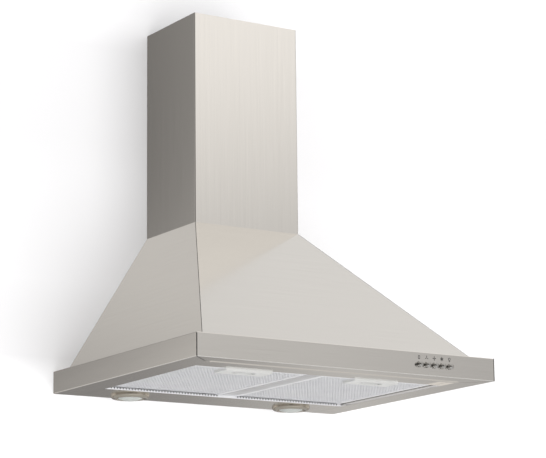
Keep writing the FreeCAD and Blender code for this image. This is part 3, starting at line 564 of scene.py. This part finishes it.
# soft studio: a graded surround with a few dark flags, one broad light, a white wall and a pale floor
studioLook = {
    "base": (0.311, 0.30, 0.287),
    "lobes": [  # aim, where the glow starts and is full, tint
        ((0.2, -0.5, 0.84), 0.66, 0.77, (0.549, 0.53, 0.506)),  # broad sky in front
        ((0.56, -0.82, 0.1), 0.84, 0.97, (0.339, 0.335, 0.331)),  # front fill, for the band
        ((0.45, 0.28, 0.84), 0.7, 0.95, (0.575, 0.57, 0.563)),  # overhead, for the front slope
        ((0.0, 0.8, 0.6), 0.86, 0.97, (0.373, 0.36, 0.344)),  # high behind, for the left slope
        ((0.0, 0.0, -1.0), -0.02, 0.12, (0.259, 0.25, 0.239)),  # lower half
        ((-0.68, 0.7, -0.05), 0.938, 0.958, (0.29, 0.28, 0.267)),  # strip behind, at the left
        ((-0.68, 0.65, 0.4), 0.942, 0.96, (0.145, 0.14, 0.134)),  # the same strip, higher
        ((-0.4, 0.9, -0.15), 0.9, 0.98, (0.228, 0.220, 0.210)),  # behind, left and low
        ((0.95, 0.05, 0.05), 0.82, 0.95, (0.414, 0.400, 0.382)),  # right side
        ((-0.62, -0.12, 0.78), 0.8, 0.95, (0.310, 0.300, 0.286)),  # left overhead
        ((-0.55, -0.83, 0.05), 0.9, 0.97, (-0.228, -0.220, -0.210)),  # flag that draws the chimney fold
        ((0.36, 0.03, 0.93), 0.945, 0.99, (-0.414, -0.400, -0.382)),  # flag where two overhead glows meet
        ((-0.25, 0.92, 0.3), 0.95, 0.975, (-0.207, -0.200, -0.191)),  # flag for the chimney's left side
        ((0.36, 0.92, -0.12), 0.972, 0.994, (-0.310, -0.300, -0.286)),  # flag for the underside, left
        ((0.72, -0.68, 0.12), 0.975, 0.995, (-0.124, -0.120, -0.115)),  # flag for the band's right end
        ((0.68, 0.72, -0.14), 0.9865, 0.9955, (-0.103, -0.100, -0.096)),  # flag for the underside, right
        ((-0.3, 0.8, -0.52), 0.93, 0.985, (-0.228, -0.220, -0.210)),  # flag for the lamp rings
        ((0.0, 0.0, -1.0), 0.5, 0.75, (-0.373, -0.360, -0.344)),  # flag straight below
    ],
    "ambient": (0.80, 0.80, 0.805), "bounceAim": (0.0, -0.2, -1.0), "bounceLow": 0.30, "bounceHigh": 0.95,
    "bounce": (0.35, 0.35, 0.355),
    "floorDrop": 1.62, "floorSize": 3.0,
    "floorLow": rgb(0.80, 0.80, 0.79), "floorHigh": rgb(0.84, 0.84, 0.83),
    "wallGap": 2.0 * mm, "wallSize": 4.0,
    "wallLow": rgb(0.69, 0.685, 0.69), "wallHigh": rgb(0.71, 0.705, 0.71),
    # height on the wall and its glow there: painted light that lifts the wall's shadows, most below the hood and
    # above the chimney
    "wallGlow": [(-0.26, 0.46), (-0.16, 0.05), (-0.02, 0.09), (0.25, 0.0), (0.43, 0.0), (0.49, 0.10)],
    "wallFoot": 0.5, "cloud": 0.7, "rough": 0.85, "spread": 0.1,
    "keyPlace": (0.1, -3.4, -0.8), "keyAim": (0.0, -0.2, 0.0), "keySize": 4.2, "keyPower": 147.0,
}


def buildWorld():
    look = studioLook
    world = bpy.data.worlds.new("studio")
    scene.world = world
    world.use_nodes = True
    sk = Sock(world.node_tree)
    ray = sk.node("ShaderNodeTexCoord", out="Generated")

    def graded(base, lobes):
        glow = sk.node("ShaderNodeCombineXYZ", values={i: part for i, part in enumerate(base)})
        for aim, low, high, tint in lobes:
            facing = sk.node("ShaderNodeVectorMath", {"operation": "DOT_PRODUCT"}, {
                0: ray, 1: tuple(Vector(aim).normalized())}, out="Value")
            lobe = sk.node("ShaderNodeVectorMath", {"operation": "SCALE"}, {
                0: tint, "Scale": sk.step(facing, low, high)})
            glow = sk.node("ShaderNodeVectorMath", {"operation": "ADD"}, {0: glow, 1: lobe})
        return glow

    mirrored = sk.node("ShaderNodeLightPath", out="Is Glossy Ray")
    bounce = (look["bounceAim"], look["bounceLow"], look["bounceHigh"], look["bounce"])
    glow = sk.between(graded(look["ambient"], [bounce]), graded(look["base"], look["lobes"]), mirrored)
    seen = sk.node("ShaderNodeLightPath", out="Is Camera Ray")
    colour = sk.between(glow, rgb(1.0, 1.0, 1.0), seen)
    sk.feed(world.node_tree.nodes["Background"].inputs["Color"], colour)


def stagePlane(name, size, finish, turn, place):
    bm = bmesh.new()
    bmesh.ops.create_grid(bm, x_segments=1, y_segments=1, size=size)
    bmesh.ops.rotate(bm, verts=bm.verts, matrix=turn)
    bmesh.ops.translate(bm, verts=bm.verts, vec=place)
    mesh = bpy.data.meshes.new(name)
    bm.to_mesh(mesh)
    bm.free()
    mesh.materials.append(finish)
    plane = bpy.data.objects.new(name, mesh)
    scene.collection.objects.link(plane)
    return plane


def paintedBoard(name, low, high):
    look = studioLook
    made, sk, shader, place = newMaterial(name)
    cloud = sk.noise(place, look["cloud"], detail=2.0)
    fill(sk, shader, {
        "Base Color": sk.between(low, high, cloud),
        "Roughness": look["rough"] + look["spread"] * (cloud - 0.5),
    })
    behind = sk.node("ShaderNodeNewGeometry", out="Backfacing")
    seen = sk.node("ShaderNodeLightPath", out="Is Camera Ray")
    front = Sock(sk.tree, shader.outputs["BSDF"])
    clear = sk.node("ShaderNodeBsdfTransparent")
    shown = sk.node("ShaderNodeMixShader", values={0: behind * seen, 1: front, 2: clear})  # clear from its back
    sk.feed(sk.tree.nodes["Material Output"].inputs["Surface"], shown)
    return made, sk, shader, place


def buildFloor():
    look = studioLook
    finish = paintedBoard("paleFloor", look["floorLow"], look["floorHigh"])[0]
    place = (0, 0, cadBox[0][2] - look["floorDrop"])
    floor = stagePlane("floor", look["floorSize"], finish, Matrix.Identity(3), place)
    floor.visible_diffuse = False


def buildWall():
    # the wall catches soft shadows and throws nothing onto the hood; its glow by height is painted light that
    # lifts those shadows
    look = studioLook
    finish, sk, shader, place = paintedBoard("whiteWall", look["wallLow"], look["wallHigh"])
    height = sk.node("ShaderNodeSeparateXYZ", values={0: place}, out="Z")
    stops = [(z + look["wallFoot"], rgb(glow, glow, glow)) for z, glow in look["wallGlow"]]
    glow = sk.node("ShaderNodeValToRGB", {"stops": stops}, {"Fac": height + look["wallFoot"]})
    fill(sk, shader, {"Emission Color": glow, "Emission Strength": 1.0})
    upright = Matrix.Rotation(math.pi / 2, 3, "X")
    wall = stagePlane("wall", look["wallSize"], finish, upright, (0, cadBox[1][1] + look["wallGap"], 0))
    wall.visible_diffuse = False
    wall.visible_glossy = False
    wall.visible_transmission = False
    wall.visible_shadow = False


def buildLights():
    look = studioLook
    data = bpy.data.lights.new("keyLight", "AREA")
    data.size = look["keySize"]
    data.energy = look["keyPower"]
    light = bpy.data.objects.new("keyLight", data)
    scene.collection.objects.link(light)
    aim = Vector(look["keyAim"]) - Vector(look["keyPlace"])
    turn = aim.to_track_quat("-Z", "Y").to_matrix().to_4x4()
    light.matrix_world = Matrix.Translation(look["keyPlace"]) @ turn
    light.visible_glossy = False


buildWorld()
buildFloor()
buildWall()
buildLights()
scene.view_settings.view_transform = "Standard"
print("studio lit")
